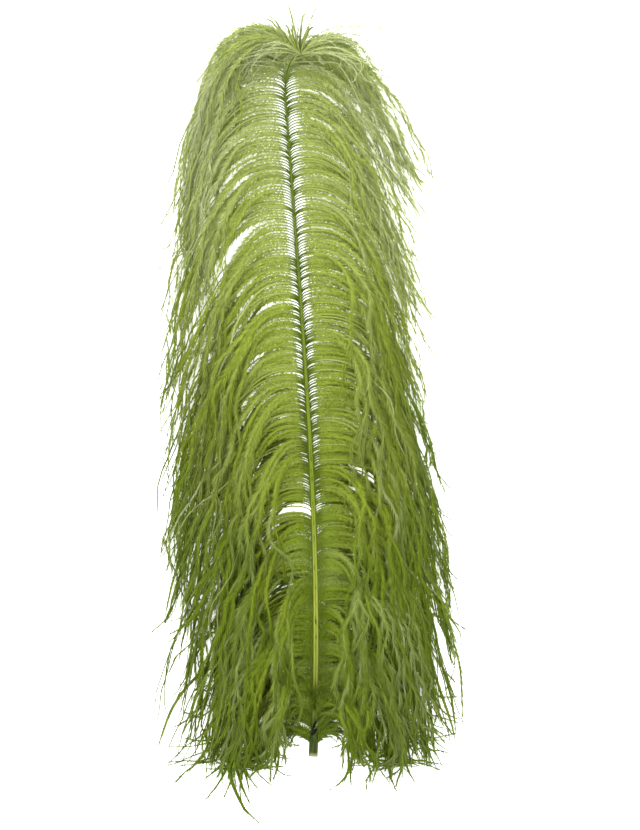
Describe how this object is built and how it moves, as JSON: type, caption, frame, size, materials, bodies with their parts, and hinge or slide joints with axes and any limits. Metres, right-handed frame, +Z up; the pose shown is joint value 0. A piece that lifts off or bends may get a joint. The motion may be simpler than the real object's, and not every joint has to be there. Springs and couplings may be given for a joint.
{
  "type": "ostrich feather",
  "caption": "Long ostrich wing plume, dyed olive green, with a bare quill, a tip that curls up, and soft drooping locks of barbs down both sides of a grooved shaft.",
  "frame": {"origin": "middle of the bounding box, on the surface that the plume lies on", "axes": "+Y from the cut end of the quill to the tip of the plume, +Z up from the surface, +X to the right when the plume is seen from above with its tip away from the viewer"},
  "size_m": [0.2408, 0.653, 0.052],
  "materials": {
    "barbs": "soft dyed keratin barbs, downy, with a faint sheen",
    "shaft": "smooth dyed horn, satin, pale yellow green above and dark at the edges"
  },
  "bodies": {
    "root": {"feather": "barbs"}
  },
  "joints": []
}
